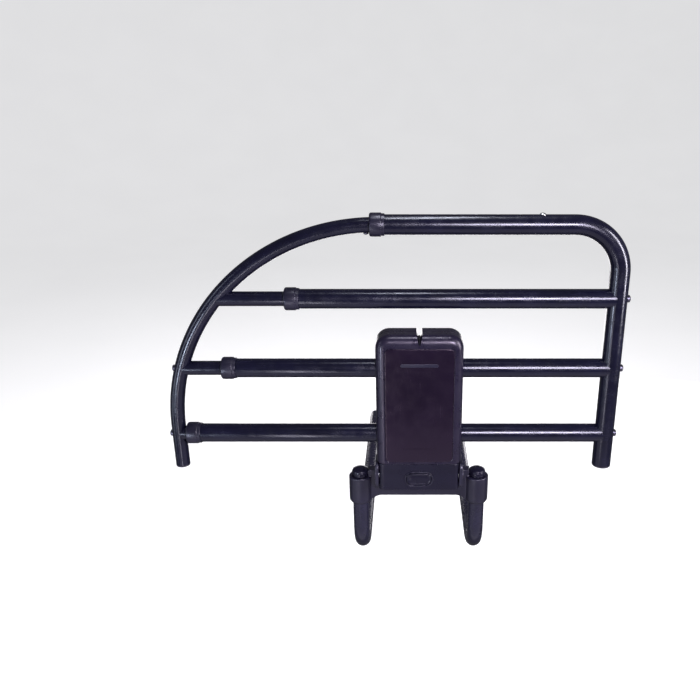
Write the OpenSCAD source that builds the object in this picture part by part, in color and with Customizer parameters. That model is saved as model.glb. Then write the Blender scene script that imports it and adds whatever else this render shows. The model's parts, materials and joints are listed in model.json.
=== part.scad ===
// Bed assist rail: a fold-down, length-adjustable side rail on two under-mattress legs.
// X runs along the bed, +Y points under the mattress and +Z is up.
// The origin is halfway between the legs, where the platform that carries the mattress
// (Z = 0) meets the plane of the mattress's side (Y = 0).

/* [Rails] */
// Height of the top rail's axis above the mattress platform
top_z = 545; // [535:1:560]
// Distance between neighbouring rails, axis to axis
rail_pitch = 105; // [102:0.5:106]
// Outside diameter of the fixed rail tubes
outer_d = 28; // [27.5:0.5:29]
// Outside diameter of the sliding tubes and of the arc
inner_d = 21; // [20:0.5:22]
// Wall thickness of every tube
tube_wall = 1.5; // [1.2:0.1:1.6]
// Distance from the middle of the bracket to the axis of the end post
post_x = 280; // [270:1:320]
// Centreline radius of the bend between the top rail and the end post
corner_r = 68; // [50:1:75]
// Centreline radius of the large arc
arc_r = 302; // [298:1:304]
// Distance from the middle of the bracket to the start of the arc
arc_start = 60; // [58:1:62]
// Distance from the top rail's axis down to the lower ends of the post and the arc
post_drop = 367; // [355:1:375]

/* [Telescoping] */
// How far the arc and its three rails slide out
travel = 180; // [120:30:180]
// Distance between the adjusting holes in the top rail
hole_pitch = 30; // [20:5:30]
// Distance from the middle of the bracket to the snap button
snap_x = 167; // [165:1:175]
// Diameter of the snap button
snap_d = 8; // [7:0.5:8]
// Tube left inside its guide at full stretch
overlap = 78; // [60:1:78]

/* [Legs] */
// Distance between the two legs, axis to axis
leg_spacing = 181; // [179:1:190]
// Outside diameter of the leg tubes
leg_d = 25; // [24:0.5:25.5]
// Centreline radius of the bend at the mattress edge
leg_bend_r = 55; // [45:1:60]
// How far the legs reach under the mattress
leg_reach = 500; // [400:10:560]

/* [Housing] */
// Width of the housing on the two lower rails
housing_w = 127; // [126:1:130]
// Height of the housing above its pivot block
housing_h = 202; // [190:1:205]
// Wall thickness of the housing shells
shell = 2.6; // [2:0.1:3]

/* [Fold] */
// How far the fold axis lies in front of the rails
pin_forward = 14; // [13.5:0.5:15]
// Diameter of the pivot pins
pin_d = 8; // [7:0.5:8]
// Travel of the release button
button_travel = 5; // [4:0.5:5]

/* [Hidden] */
$fn = 96;

eps = 0.01;
run = 0.06;          // radial clearance of parts that slide or turn in each other
fit = 0.03;          // radial clearance of parts that are fastened together

// Tubes
outer_r = outer_d / 2;
outer_bore = outer_r - tube_wall;
inner_r = inner_d / 2;
inner_bore = inner_r - tube_wall;
leg_r = leg_d / 2;
leg_bore = leg_r - tube_wall;

// Planes along Y: the legs stand against the mattress, the rails a little in front of them
sleeve_r = 17.8;
leg_y = -18;
rail_y = -24;
pin_y = rail_y - pin_forward;
front_y = rail_y - 25;
back_y = rail_y + 22;
plate_back = -9;     // face of the bracket's web towards the mattress

// Heights
end_z = top_z - post_drop;
block_top = top_z - 356;
pin_z = block_top - 22;
housing_top = block_top + housing_h;
sleeve_top = 155;
sleeve_h = 45;
plate_low = 121.5;   // underside of the bracket at its middle
plate_top = pin_z + 20;
arc_z = top_z - arc_r;
arc_end_x = -arc_start - arc_r;
stop_angle = 2.75;   // place of the stop screw, past the top of the arc
button_z = pin_z - 3;

// Left ends of the four collars, from the top rail to the lowest
collar_x = [-69.5, -191, -288, -349];
collar_w = 21;
collar_lip = 6;
collar_r = outer_r + 2.4;
bush_l = 13;         // length of the tight bore inside each collar

// Fasteners
rail_bolt_r = 3;
slide_bolt_r = 2.5;
leg_bolt_r = 3;
stop_screw_r = 2;
screw_r = 1.65;      // self-tapping screws of the housing
screw_head_r = 3.6;
counterbore_r = 4;

// Pivot block and its bearing in the bracket
block_r = 24.5;      // rounded underside of the block, from the pivot pin
trough_r = 25.3;     // trough of the bracket round it
block_half = 60.5;
ear_w = 5;
bush_r = 6;
cap_r = 13;

// Latch, which slides at 45 degrees below the pivot pin
latch_half = 6.5;
latch_thick = 4.6;
latch_nose = trough_r + 3.5;
latch_pin_r = 1.25;
latch_pin_out = 13;  // from the pivot pin to the latch's cross pin
flange_t = 1.4;      // flange of the release button that the springs press on

// Colours
tube_colour = "#1d1a30";
plastic_colour = "#3b3756";
gloss_colour = "#2a1c33";
steel_colour = "#c9cad2";
zinc_colour = "#6d6c7c";
rubber_colour = "#222226";

// ---- Helpers ----

function rail_z(i) = top_z - i * rail_pitch;
// X of the arc's centreline at height z, on its left side
function arc_at(z) = z < arc_z ? arc_end_x : -arc_start - sqrt(arc_r * arc_r - pow(z - arc_z, 2));
// Inner end of the sliding tube i when the rail is closed up
function slide_end(i) = i == 0 ? snap_x + 24 : collar_x[i] + collar_w + overlap + travel;

module rod_x(x0, x1, r, y = 0, z = 0)
  translate([x0, y, z]) rotate([0, 90, 0]) cylinder(h = x1 - x0, r = r);

module rod_y(y0, y1, r, x = 0, z = 0)
  translate([x, y0, z]) rotate([-90, 0, 0]) cylinder(h = y1 - y0, r = r);

// A rounded rectangle from its centre, with true arcs at the corners
module rounded(w, h, r) {
  square([w - 2 * r, h], center = true);
  square([w, h - 2 * r], center = true);
  for (x = [-1, 1], y = [-1, 1])
    translate([x * (w / 2 - r), y * (h / 2 - r)]) circle(r);
}

// A bar with round ends between two points of a plane
module capsule(p, q, r) {
  way = q - p;
  translate(p) circle(r);
  translate(q) circle(r);
  translate(p) rotate(atan2(way.y, way.x)) translate([0, -r]) square([norm(way), 2 * r]);
}

// Turns a drawing of the (x, z) plane into a solid between two places along Y
module between_y(y0, y1)
  translate([0, y1, 0]) rotate([90, 0, 0]) linear_extrude(height = y1 - y0) children();

// Turns a drawing of the (y, z) plane, taken from the pivot pin, into a solid between two places
// along X
module from_pin(x0, x1)
  translate([x0, pin_y, pin_z]) rotate([90, 0, 90]) linear_extrude(height = x1 - x0) children();

// The part of a ring in the plane of the rails, from angle a0 to a1
module bend(x, z, ring_r, r, a0, a1)
  translate([x, rail_y, z]) rotate([90, 0, 0]) rotate(a0)
    rotate_extrude(angle = a1 - a0) translate([ring_r, 0]) circle(r);

// A round head with a domed top that stands on z = 0
module domed(r, h, dome)
  intersection() {
    cylinder(h = h, r = r);
    translate([0, 0, h - (r * r + dome * dome) / (2 * dome)])
      sphere((r * r + dome * dome) / (2 * dome));
  }

// Plug for the open end of a tube, with its rim below z = 0 and its stem above
module tube_plug(rim_r, bore) {
  difference() {
    union() {
      translate([0, 0, -1.5]) cylinder(h = 1.5, r = rim_r);
      translate([0, 0, -2.5]) cylinder(h = 1, r1 = rim_r - 1, r2 = rim_r);
      cylinder(h = 13, r = bore - fit);
    }
    translate([0, 0, 1]) cylinder(h = 13, r = bore - 2);
  }
}

// ---- Legs and bracket ----

// Space taken by a leg's tube of radius r
module leg_line(side, r, extra = 0) {
  bend_z = leg_r + leg_bend_r;
  translate([side * leg_spacing / 2, 0, 0]) {
    translate([0, leg_y, bend_z]) cylinder(h = sleeve_top - 2 - bend_z + extra, r = r);
    translate([0, leg_y + leg_bend_r, bend_z]) rotate([90, 0, 90]) rotate(180)
      rotate_extrude(angle = 90) translate([leg_bend_r, 0]) circle(r);
    rod_y(leg_y + leg_bend_r, leg_reach + extra, r, 0, leg_r);
  }
}

module leg(side)
  color(tube_colour)
    difference() {
      leg_line(side, leg_r);
      leg_line(side, leg_bore, 1);
      rod_y(leg_y, 0, leg_bolt_r + 0.1, side * leg_spacing / 2, sleeve_top - sleeve_h / 2);
    }

module left_leg() { leg(-1); }

module right_leg() { leg(1); }

module leg_caps()
  color(plastic_colour)
    for (side = [-1, 1])
      translate([side * leg_spacing / 2, leg_y, sleeve_top]) {
        cylinder(h = 7, r = cap_r);
        translate([0, 0, 7]) cylinder(h = 1, r1 = cap_r, r2 = cap_r - 0.5);
        translate([0, 0, 8]) domed(cap_r - 0.5, 5.5, 4.5);
        translate([0, 0, -15]) cylinder(h = 15, r = leg_bore - fit);
      }

module leg_end_plugs()
  color(plastic_colour)
    for (side = [-1, 1])
      translate([side * leg_spacing / 2, leg_reach, leg_r]) rotate([90, 0, 0])
        tube_plug(leg_r, leg_bore);

// Grub screws that lock the legs in the sleeves, reached from the mattress side
module leg_bolts()
  color(zinc_colour)
    for (side = [-1, 1], x = side * leg_spacing / 2, z = sleeve_top - sleeve_h / 2)
      difference() {
        rod_y(leg_y + leg_bore - 1, leg_y + sleeve_r - 0.4, leg_bolt_r, x, z);
        translate([x, leg_y + sleeve_r + 1, z]) rotate([90, 0, 0])
          cylinder(h = 3.5, r = 1.7, $fn = 6);
      }

// Front view of the web between the sleeves: arched below, with a saddle beside each sleeve
module web_outline() {
  half = 60;
  inner = half - 5;
  sleeve_low = sleeve_top - sleeve_h;
  arch_r = 25;
  saddle_r = 22;
  reach = leg_spacing / 2 - leg_r + 1;
  translate([-half, plate_low]) square([2 * half, plate_top - plate_low]);
  for (side = [0, 1])
    mirror([side, 0])
      difference() {
        translate([inner, sleeve_low]) square([reach - inner, plate_top - sleeve_low]);
        translate([inner, plate_low - arch_r]) circle(arch_r);
        translate([reach - 5, plate_top]) circle(saddle_r);
      }
}

// Side view of an ear, from its pivot pin
module ear_outline() {
  corner = 8;
  translate([-10 + corner, -20]) square([36 - corner, 40]);
  translate([-10, -20 + corner]) square([36, 40 - 2 * corner]);
  for (z = [-20 + corner, 20 - corner])
    translate([-10 + corner, z]) circle(corner);
}

module leg_bracket()
  color(plastic_colour)
    difference() {
      union() {
        between_y(rail_y, plate_back) web_outline();
        for (side = [-1, 1], x = side * (block_half + 0.5 + ear_w / 2)) {
          from_pin(x - ear_w / 2, x + ear_w / 2) ear_outline();
          translate([side * leg_spacing / 2, leg_y, sleeve_top - sleeve_h]) {
            cylinder(h = 4, r1 = sleeve_r - 2.2, r2 = sleeve_r);
            translate([0, 0, 4]) cylinder(h = sleeve_h - 5, r = sleeve_r);
            translate([0, 0, sleeve_h - 1]) cylinder(h = 1, r1 = sleeve_r, r2 = sleeve_r - 1);
          }
        }
      }
      // Round trough and straight back that the pivot block swings in
      rod_x(-block_half - 0.5, block_half + 0.5, trough_r, pin_y, pin_z);
      from_pin(-block_half - 0.5, block_half + 0.5) square([trough_r, 30]);
      // Keyway of the latch, open along the way its nose swings
      intersection() {
        rod_x(-latch_half - 0.7, latch_half + 0.7, latch_nose + 0.5, pin_y, pin_z);
        translate([0, pin_y, pin_z]) rotate([-45, 0, 0]) translate([-10, 0, -3]) cube([20, 40, 40]);
      }
      // Pockets in the back of the skirt
      difference() {
        for (x = [-45, -15, 15, 45])
          translate([x - 12, rail_y + 4, plate_low + 3.5]) cube([24, 20, 26]);
        rod_x(-block_half - 0.5, block_half + 0.5, trough_r + 4.2, pin_y, pin_z);
      }
      for (side = [-1, 1]) {
        rod_x(side * 64 - 4, side * 64 + 4, pin_d / 2 + fit, pin_y, pin_z);
        translate([side * leg_spacing / 2, leg_y, sleeve_top]) {
          translate([0, 0, -sleeve_h - 1]) cylinder(h = sleeve_h + 2, r = leg_r + fit);
          cylinder(h = 14, r = cap_r + 0.5);
        }
        rod_y(leg_y, 0, leg_bolt_r + fit, side * leg_spacing / 2, sleeve_top - sleeve_h / 2);
      }
    }

module pivot_pins()
  color(steel_colour)
    for (side = [0, 1])
      mirror([side, 0, 0])
        translate([0, pin_y, pin_z]) rotate([0, 90, 0]) {
          translate([0, 0, 46]) cylinder(h = 20.1, r = pin_d / 2);
          translate([0, 0, 66.1]) domed(7, 2.6, 1.4);
        }

// Buffers on the bracket's top edge that the housing rests on when the rail is up
module stop_bumpers()
  color(rubber_colour)
    for (x = [-42, 42])
      translate([x, (pin_y + trough_r + plate_back) / 2, plate_top])
        linear_extrude(height = block_top - plate_top - 0.1) rounded(16, 2.8, 1.3);

// ---- Fixed rails ----

// Space taken by the tube of the top rail and the end post, of radius r
module main_line(r, extra = 0) {
  bend_x = post_x - corner_r;
  bend_z = top_z - corner_r;
  rod_x(collar_x[0] + collar_lip - extra, bend_x, r, rail_y, top_z);
  bend(bend_x, bend_z, corner_r, r, 0, 90);
  translate([post_x, rail_y, end_z - extra]) cylinder(h = bend_z - end_z + extra, r = r);
}

module main_tube()
  color(tube_colour)
    difference() {
      main_line(outer_r);
      main_line(outer_bore, 1);
      for (step = [0 : hole_pitch : travel])
        translate([snap_x - step, rail_y, top_z + 4]) cylinder(h = 16, r = snap_d / 2 + 0.3);
      for (i = [1 : 3])
        rod_x(post_x - 20, post_x + 20, rail_bolt_r + fit, rail_y, rail_z(i));
    }

// Fixed tube of rail i, with its right end shaped to the end post
module fixed_rail(i)
  color(tube_colour)
    difference() {
      rod_x(collar_x[i] + collar_lip, post_x - 3.5, outer_r, rail_y, rail_z(i));
      rod_x(collar_x[i], post_x, outer_bore, rail_y, rail_z(i));
      translate([post_x, rail_y, rail_z(i) - 20]) cylinder(h = 40, r = outer_r + fit);
    }

module upper_rail() { fixed_rail(1); }

module middle_rail() { fixed_rail(2); }

module lower_rail() { fixed_rail(3); }

// Guide bushes that close the fixed tubes and carry the sliding ones
module rail_collars() {
  lip_r = inner_r + 0.5;
  skirt = 17;
  spigot = collar_w + 5.5;
  color(plastic_colour)
    for (i = [0 : 3])
      translate([collar_x[i], rail_y, rail_z(i)]) rotate([0, 90, 0])
        rotate_extrude()
          polygon([
            [lip_r, 0], [collar_r - 2, 0], [collar_r, 2], [collar_r, skirt],
            [outer_r + 1.3, skirt], [outer_r + 1.3, collar_w],
            [outer_r + fit, collar_w], [outer_r + fit, collar_lip],
            [outer_bore - fit, collar_lip], [outer_bore - fit, spigot],
            [inner_r + run, spigot], [inner_r + run, spigot - bush_l],
            [lip_r, spigot - bush_l - 0.5]
          ]);
}

module post_plug()
  color(plastic_colour)
    translate([post_x, rail_y, end_z]) tube_plug(outer_r, outer_bore);

module rail_bolts()
  color(zinc_colour)
    for (i = [1 : 3])
      difference() {
        translate([post_x, rail_y, rail_z(i)]) rotate([0, 90, 0]) {
          translate([0, 0, -outer_r - 19]) cylinder(h = 2 * outer_r + 19.5, r = rail_bolt_r);
          translate([0, 0, outer_r - 1.5]) domed(5.3, 6, 1.8);
        }
        difference() {
          main_line(outer_r + fit);
          rod_x(post_x - 30, post_x + 30, rail_bolt_r - eps, rail_y, rail_z(i));
        }
      }

module rail_inserts()
  color(plastic_colour)
    for (i = [1 : 3])
      difference() {
        rod_x(post_x - outer_r - 22, post_x - outer_r - 1, outer_bore - fit, rail_y, rail_z(i));
        rod_x(post_x - outer_r - 23, post_x - outer_r, rail_bolt_r + fit, rail_y, rail_z(i));
      }

// ---- Housing on the two lower rails ----

// Rounded outer form of the housing, drawn in by g on every side
module housing_form(g) {
  w = housing_w - 2 * g;
  h = housing_h - 2 * g;
  d = back_y - front_y - 2 * g;
  mid_y = (front_y + back_y) / 2;
  mid_z = block_top + housing_h / 2;
  intersection() {
    between_y(front_y + g, back_y - g)
      translate([0, mid_z]) {
        rounded(w, h, 20 - g);
        translate([0, -h / 4]) rounded(w, h / 2, 3);
      }
    translate([0, mid_y, block_top]) linear_extrude(height = housing_h) rounded(w, d, 9 - g);
    translate([-w / 2, mid_y, mid_z]) rotate([90, 0, 90])
      linear_extrude(height = w) {
        rounded(d, h, 10 - g);
        translate([0, -h / 4]) rounded(d, h / 2, 3);
      }
  }
}

// Notch in the top of the housing, g wider on every side
module notch(g)
  between_y(front_y - 1 - g, back_y + 1 + g)
    polygon([
      [-4.2 - g, housing_top + 1], [4.2 + g, housing_top + 1],
      [1.2 + g, housing_top - 13 - g], [-1.2 - g, housing_top - 13 - g]
    ]);

// Places of the six housing screws
module at_housing_screws()
  for (x = [-50, 50], z = [block_top + 12, (rail_z(2) + rail_z(3)) / 2, housing_top - 22])
    translate([x, 0, z]) children();

// Places of the four screws that hold the pivot block under the housing
module at_block_screws()
  for (x = [-35, 35], y = [rail_y - 19, rail_y + 4.5])
    translate([x, y, 0]) children();

// What is left standing inside the shells: rail saddles, screw bosses and the notch's walls
module housing_inside() {
  for (x = [-60, -4, 52], i = [2, 3])
    translate([x, front_y, rail_z(i) - 20]) cube([8, back_y - front_y, 40]);
  at_housing_screws() rod_y(front_y, back_y, 4.6);
  at_block_screws() translate([0, 0, block_top]) cylinder(h = 13, r = 4.5);
  notch(shell);
}

module housing_half(y0, y1)
  difference() {
    intersection() {
      housing_form(0);
      translate([-housing_w, y0, block_top - 1]) cube([2 * housing_w, y1 - y0, housing_h + 2]);
    }
    difference() {
      housing_form(shell);
      housing_inside();
    }
    for (i = [2, 3])
      rod_x(-housing_w, housing_w, outer_r + fit, rail_y, rail_z(i));
    at_block_screws() translate([0, 0, block_top - 1]) cylinder(h = 12, r = screw_r + 0.05);
    notch(0);
  }

// Front view of the glossy panel
module panel_outline(g)
  translate([0, block_top + 94]) rounded(100 - 2 * g, 180 - 2 * g, 8 - g);

module housing_front()
  color(plastic_colour)
    difference() {
      housing_half(front_y, rail_y - 0.02);
      between_y(front_y - 1, front_y + 1.4) panel_outline(0);
      at_housing_screws() rod_y(rail_y - 18, rail_y + 1, screw_r + 0.05);
    }

module housing_rear()
  color(plastic_colour)
    difference() {
      housing_half(rail_y, back_y);
      at_housing_screws() {
        rod_y(rail_y - 1, back_y + 1, screw_r + 0.45);
        rod_y(back_y - 3, back_y + 1, counterbore_r);
      }
    }

module front_panel()
  color(gloss_colour)
    difference() {
      union() {
        between_y(front_y - 1.1, front_y + 1.35) panel_outline(0.15);
        between_y(front_y - 1.9, front_y) translate([0, block_top + 159]) rounded(54, 5, 2);
      }
      between_y(front_y - 2, front_y - 0.5) translate([0, block_top + 27]) square([50, 1.2], center = true);
    }

module housing_screws()
  color(zinc_colour)
    at_housing_screws()
      difference() {
        union() {
          rod_y(rail_y - 16, back_y - 3, screw_r);
          translate([0, back_y - 3, 0]) rotate([-90, 0, 0]) domed(screw_head_r, 2.4, 1);
        }
        translate([0, back_y, 0]) rotate([90, 0, 0]) cylinder(h = 1.8, r = 1.4, $fn = 6);
      }

// ---- Pivot block and its latch ----

// Side view of the block, from the pivot pin, drawn in by g
module block_outline(g) {
  front = pin_y - front_y;
  up = block_top - pin_z;
  depth = front + block_r - 2 * g;
  translate([g - front, 0]) square([depth, up]);
  intersection() {
    circle(block_r - g);
    translate([g - front, g - up]) square([depth, up]);
  }
}

module button_outline(g)
  translate([0, button_z]) rounded(38 + 2 * g, 20 + 2 * g, 9.5 + g);

module pivot_block()
  color(plastic_colour)
    difference() {
      union() {
        difference() {
          intersection() {
            from_pin(-block_half, block_half) block_outline(0);
            translate([0, pin_y + 13, 0]) linear_extrude(height = block_top)
              rounded(2 * block_half, 48, 7);
          }
          // Space for the latch, open towards the housing
          intersection() {
            from_pin(-26, 26) block_outline(3);
            translate([-30, pin_y - 5.2, 0]) cube([60, 60, block_top + 1]);
          }
        }
        // Seats of the release springs
        for (x = [-15, 15]) {
          rod_y(pin_y + 13, pin_y + 23, 4.4, x, pin_z + 3);
          rod_y(pin_y + 8, pin_y + 14, 2.2, x, pin_z + 3);
        }
      }
      between_y(front_y - 1, pin_y) button_outline(0.3);
      between_y(front_y - 1, front_y + 1) button_outline(2.6);
      // Window for the latch bolt
      translate([0, pin_y, pin_z]) rotate([-45, 0, 0])
        translate([-latch_half - 0.2, 19, -latch_thick / 2 - 0.2])
          cube([2 * latch_half + 0.4, 8, latch_thick + 0.4]);
      for (side = [-1, 1])
        rod_x(side * 53 - 8, side * 53 + 8, bush_r + fit, pin_y, pin_z);
      at_block_screws() {
        translate([0, 0, pin_z - 30]) cylinder(h = 60, r = screw_r + 0.45);
        translate([0, 0, pin_z - 30]) cylinder(h = 22, r = counterbore_r);
      }
    }

module pivot_bushes()
  color(steel_colour)
    for (side = [-1, 1])
      difference() {
        rod_x(side * 52.8 - 7.6, side * 52.8 + 7.6, bush_r, pin_y, pin_z);
        rod_x(side * 52.8 - 9, side * 52.8 + 9, pin_d / 2 + run, pin_y, pin_z);
      }

module block_screws()
  color(zinc_colour)
    at_block_screws() {
      translate([0, 0, pin_z - 8]) cylinder(h = 39, r = screw_r);
      translate([0, 0, pin_z - 10.6]) cylinder(h = 2.6, r = screw_head_r);
    }

module button_bezel()
  color(plastic_colour)
    difference() {
      between_y(front_y - 0.9, front_y + 0.97) button_outline(2.5);
      between_y(front_y - 2, front_y + 2) button_outline(0.4);
    }

// The latch pin's rest place and the way it takes through the button's slot, from the pivot pin
latch_from = latch_pin_out * [cos(45), -sin(45)];
latch_to = latch_from + button_travel * [-1 - cos(45), sin(45)];

module release_button()
  color(plastic_colour) {
    between_y(front_y - 1.5, pin_y - 4) button_outline(0);
    between_y(pin_y - 5, pin_y - 5 + flange_t) button_outline(2.5);
    difference() {
      from_pin(-2.4, 2.4) {
        translate([-3.5, -12.2]) square([3.5 + latch_from.x, 9]);
        translate(latch_from) circle(3.6);
      }
      from_pin(-3, 3) capsule(latch_from, latch_to, latch_pin_r + 0.1);
    }
  }

// Fork whose two cheeks pass the button's stem, with the bolt's nose across their ends
module latch_bolt() {
  cheek_w = 3.5;
  nose_l = 3.4;
  tail = latch_pin_out - 2.5;
  color(steel_colour)
    translate([0, pin_y, pin_z]) rotate([-45, 0, 0])
      difference() {
        translate([0, 0, -latch_thick / 2]) {
          for (x = [-latch_half, latch_half - cheek_w])
            translate([x, tail]) cube([cheek_w, latch_nose - tail, latch_thick]);
          translate([-latch_half, latch_nose - nose_l])
            cube([2 * latch_half, nose_l, latch_thick]);
        }
        rod_x(-10, 10, latch_pin_r + fit, latch_pin_out);
      }
}

module latch_pin()
  color(zinc_colour)
    rod_x(-latch_half, latch_half, latch_pin_r, pin_y + latch_from.x, pin_z + latch_from.y);

// Coil spring along +Y from the origin: a tube swept along a helix
module coil(length, r, wire_r, turns) {
  sides = 6;
  per_turn = 12;
  rings = turns * per_turn;
  points = [
    for (k = [0 : rings], s = [0 : sides - 1])
      let (a = k * 360 / per_turn, b = s * 360 / sides, q = r + wire_r * cos(b))
        [q * cos(a), wire_r + (length - 2 * wire_r) * k / rings + wire_r * sin(b), q * sin(a)]
  ];
  walls = [
    for (k = [0 : rings - 1], s = [0 : sides - 1])
      let (n = (s + 1) % sides)
        [k * sides + s, k * sides + n, (k + 1) * sides + n, (k + 1) * sides + s]
  ];
  first = [for (s = [sides - 1 : -1 : 0]) s];
  last = [for (s = [0 : sides - 1]) rings * sides + s];
  polyhedron(points, concat(walls, [first, last]));
}

module release_springs()
  color(steel_colour)
    for (x = [-15, 15])
      translate([x, pin_y - 4.95 + flange_t, pin_z + 3]) coil(17.9 - flange_t, 3.2, 0.45, 6);

// ---- Sliding part ----

// Space taken by the tube of the sliding top rail and the arc, of radius r
module arc_line(r, extra = 0) {
  rod_x(-arc_start, slide_end(0) + extra, r, rail_y, top_z);
  bend(-arc_start, arc_z, arc_r, r, 90, 180);
  translate([arc_end_x, rail_y, end_z - extra]) cylinder(h = arc_z - end_z + extra, r = r);
}

// Turns its children so that +Z points out of the arc, at an angle past the top
module on_arc(angle)
  translate([-arc_start, rail_y, arc_z]) rotate([0, -angle, 0]) translate([0, 0, arc_r]) children();

module arc_tube()
  color(tube_colour)
    difference() {
      arc_line(inner_r);
      arc_line(inner_bore, 1);
      translate([snap_x, rail_y, top_z + 4]) cylinder(h = 10, r = snap_d / 2 + 0.1);
      on_arc(stop_angle) translate([0, 0, -15]) cylinder(h = 10, r = stop_screw_r + fit);
      for (i = [2, 3], x = arc_at(rail_z(i)))
        rod_x(x - 15, x + 15, slide_bolt_r + fit, rail_y, rail_z(i));
    }

// Sliding tube of rail i, with its left end shaped to the arc
module sliding_rail(i)
  color(tube_colour)
    difference() {
      rod_x(arc_at(rail_z(i)) + 2.5, slide_end(i), inner_r, rail_y, rail_z(i));
      rod_x(arc_at(rail_z(i)), slide_end(i) + 1, inner_bore, rail_y, rail_z(i));
      arc_line(inner_r + fit);
    }

module upper_slide() { sliding_rail(1); }

module middle_slide() { sliding_rail(2); }

module lower_slide() { sliding_rail(3); }

module glide_bushes()
  color(plastic_colour)
    for (i = [0 : 3])
      difference() {
        union() {
          rod_x(slide_end(i) - 12, slide_end(i), inner_bore - fit, rail_y, rail_z(i));
          rod_x(slide_end(i), slide_end(i) + 6, outer_bore - 0.1, rail_y, rail_z(i));
        }
        rod_x(slide_end(i) - 13, slide_end(i) + 7, 6, rail_y, rail_z(i));
      }

module arc_plug()
  color(plastic_colour)
    translate([arc_end_x, rail_y, end_z]) tube_plug(inner_r, inner_bore);

module slide_bolts()
  color(zinc_colour)
    for (i = [2, 3])
      difference() {
        translate([arc_at(rail_z(i)), rail_y, rail_z(i)]) rotate([0, -90, 0]) {
          translate([0, 0, -inner_r - 15]) cylinder(h = 2 * inner_r + 15, r = slide_bolt_r);
          translate([0, 0, inner_r - 3]) domed(4.8, 6.6, 1.8);
        }
        difference() {
          arc_line(inner_r + fit);
          rod_x(-400, -300, slide_bolt_r - eps, rail_y, rail_z(i));
        }
      }

module slide_inserts()
  color(plastic_colour)
    for (i = [2, 3], x = arc_at(rail_z(i)) + inner_r)
      difference() {
        rod_x(x + 5, x + 20, inner_bore - fit, rail_y, rail_z(i));
        rod_x(x + 4, x + 21, slide_bolt_r + fit, rail_y, rail_z(i));
      }

module stop_screw()
  color(zinc_colour)
    on_arc(stop_angle) {
      translate([0, 0, -inner_r - fit]) rotate([180, 0, 0]) domed(3.6, 3, 1.4);
      translate([0, 0, -inner_r - 1]) cylinder(h = 6, r = stop_screw_r);
    }

// Leaf folded to a V that lifts the snap button
module snap_spring()
  color(steel_colour)
    translate([snap_x, 0, top_z])
      between_y(rail_y - 3.5, rail_y + 3.5)
        polygon([
          [-17, -8.2], [11, -8.2], [11, -7.5], [-15, -7.5], [-3, 4.1],
          [5, 4.1], [5, 4.9], [-3.4, 4.9], [-17, -7.9]
        ]);

module snap_button()
  color(steel_colour)
    translate([snap_x, rail_y, top_z + 5]) {
      cylinder(h = 1.5, r = 5.5);
      domed(snap_d / 2, 11.4, 1.6);
    }

leg_bracket();
left_leg();
right_leg();
leg_caps();
leg_end_plugs();
leg_bolts();
pivot_pins();
stop_bumpers();
main_tube();
upper_rail();
middle_rail();
lower_rail();
rail_collars();
post_plug();
rail_bolts();
rail_inserts();
housing_front();
housing_rear();
front_panel();
housing_screws();
pivot_block();
pivot_bushes();
block_screws();
button_bezel();
release_springs();
release_button();
latch_bolt();
latch_pin();
arc_tube();
upper_slide();
middle_slide();
lower_slide();
glide_bushes();
arc_plug();
slide_bolts();
slide_inserts();
stop_screw();
snap_spring();
snap_button();
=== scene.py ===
"""Bed assist rail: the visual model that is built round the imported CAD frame.

Tubes, mouldings and fittings are modelled as meshes in metres, in the frame of the CAD model, and
each one rides on the body that it belongs to.
"""
import json
import math

import bmesh
import bpy
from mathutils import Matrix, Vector


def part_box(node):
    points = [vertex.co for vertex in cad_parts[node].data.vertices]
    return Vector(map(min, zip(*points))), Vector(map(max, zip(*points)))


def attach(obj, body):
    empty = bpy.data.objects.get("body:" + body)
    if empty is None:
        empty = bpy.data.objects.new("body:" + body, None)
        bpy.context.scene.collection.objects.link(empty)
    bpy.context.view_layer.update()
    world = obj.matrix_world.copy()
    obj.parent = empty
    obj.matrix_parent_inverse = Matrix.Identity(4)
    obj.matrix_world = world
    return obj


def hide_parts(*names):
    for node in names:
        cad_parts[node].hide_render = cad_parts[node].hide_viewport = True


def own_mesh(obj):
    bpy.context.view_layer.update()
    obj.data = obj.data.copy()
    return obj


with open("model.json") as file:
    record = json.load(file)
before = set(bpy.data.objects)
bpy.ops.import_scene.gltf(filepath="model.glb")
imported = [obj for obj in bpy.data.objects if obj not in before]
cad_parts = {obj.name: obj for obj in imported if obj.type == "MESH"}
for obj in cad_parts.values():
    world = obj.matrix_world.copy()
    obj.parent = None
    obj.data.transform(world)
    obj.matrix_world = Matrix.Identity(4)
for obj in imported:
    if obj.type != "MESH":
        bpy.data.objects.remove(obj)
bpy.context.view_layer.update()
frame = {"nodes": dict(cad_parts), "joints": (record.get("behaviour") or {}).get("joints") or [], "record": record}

MM = 0.001
X, Y, Z = Vector((1, 0, 0)), Vector((0, 1, 0)), Vector((0, 0, 1))


# ---- Sizes, read from the frame ----

def middle(node):
    low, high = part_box(node)
    return (low + high) / 2


def joint(name):
    return next(j for j in frame["joints"] if j["name"] == name)


WALL = 1.5 * MM
POST_LOW, POST_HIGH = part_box("main_tube")
OUTER_R = (POST_HIGH.y - POST_LOW.y) / 2
RAIL_Y = (POST_HIGH.y + POST_LOW.y) / 2
TOP_Z = POST_HIGH.z - OUTER_R
POST_X = POST_HIGH.x - OUTER_R
END_Z = POST_LOW.z
CORNER_R = 68 * MM

ARC_LOW, ARC_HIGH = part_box("arc_tube")
INNER_R = (ARC_HIGH.y - ARC_LOW.y) / 2
ARC_X = ARC_LOW.x + INNER_R
ARC_R = 302 * MM
ARC_CENTRE = Vector((ARC_X + ARC_R, RAIL_Y, TOP_Z - ARC_R))

RAILS = ("upper", "middle", "lower")
RAIL_Z = [TOP_Z] + [middle(name + "_rail").z for name in RAILS]
PIN = Vector(joint("rail_fold")["pos_m"])

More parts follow.
